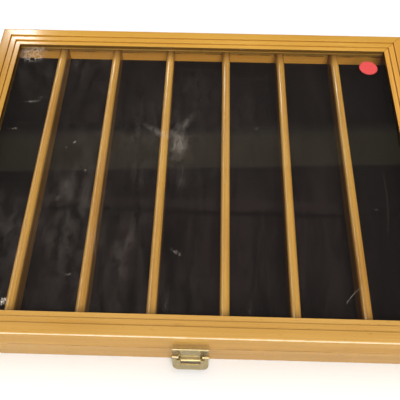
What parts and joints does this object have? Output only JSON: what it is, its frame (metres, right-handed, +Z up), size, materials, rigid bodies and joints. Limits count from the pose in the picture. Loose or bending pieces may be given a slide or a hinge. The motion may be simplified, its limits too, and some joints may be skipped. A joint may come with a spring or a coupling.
{
  "type": "lift top display case",
  "caption": "Shallow wooden display case with a hinged glass lid, a stepped frame, a draw latch, and a lined tray with rounded dividers.",
  "frame": {"origin": "middle of the footprint, latch and hinge knuckles included, on the surface that the case stands on", "axes": "+X to the right seen from the latch side, +Y from the latch towards the hinges, +Z up"},
  "size_m": [0.43, 0.3592, 0.047],
  "materials": {
    "case_wood": "honey coloured hardwood under gloss varnish",
    "divider_wood": "honey coloured hardwood, varnished, rounded top",
    "panel_board": "unfinished plywood",
    "black_cloth": "thin black cloth with fold creases",
    "clear_glass": "clear window glass, lightly scuffed",
    "brass": "pale brass plate",
    "steel": "bright zinc plated steel"
  },
  "bodies": {
    "base": {"base_front_rail": "case_wood", "base_back_rail": "case_wood", "base_left_rail": "case_wood", "base_right_rail": "case_wood", "floor_panel": "panel_board", "lining": "black_cloth", "divider_1": "divider_wood", "divider_2": "divider_wood", "divider_3": "divider_wood", "divider_4": "divider_wood", "divider_5": "divider_wood", "divider_6": "divider_wood", "divider_screws": "steel", "hinge_left_base_leaf": "brass", "hinge_right_base_leaf": "brass", "hinge_left_pin": "brass", "hinge_right_pin": "brass", "hinge_base_screws": "brass", "latch_base_plate": "brass", "latch_base_screws": "brass", "latch_pivot_pins": "brass"},
    "lid": {"lid_front_moulding": "case_wood", "lid_back_moulding": "case_wood", "lid_left_moulding": "case_wood", "lid_right_moulding": "case_wood", "glass_pane": "clear_glass", "glass_stop_front": "case_wood", "glass_stop_back": "case_wood", "glass_stop_left": "case_wood", "glass_stop_right": "case_wood", "glass_stop_brads": "steel", "hinge_left_lid_leaf": "brass", "hinge_right_lid_leaf": "brass", "hinge_lid_screws": "brass", "latch_keeper": "brass", "latch_keeper_pins": "brass"},
    "latch_lever_body": {"latch_lever": "brass", "latch_hook_pin": "brass"},
    "latch_hook_body": {"latch_hook": "brass"}
  },
  "joints": [
    {"name": "lid_hinge", "type": "hinge", "parent": "base", "child": "lid", "pos_m": [0, 0.17738, 0.0245], "axis": [-1, 0, 0], "range_deg": [0, 180]},
    {"name": "lever_pivot", "type": "hinge", "parent": "base", "child": "latch_lever_body", "pos_m": [0, -0.17382, 0.0205], "axis": [-1, 0, 0], "range_deg": [0, 90]},
    {"name": "hook_pivot", "type": "hinge", "parent": "latch_lever_body", "child": "latch_hook_body", "pos_m": [0, -0.17382, 0.0132], "axis": [-1, 0, 0], "range_deg": [-90, 0]}
  ],
  "couplings": [
    {"joint": "hook_pivot", "follows": "lever_pivot", "ratio": -1}
  ]
}
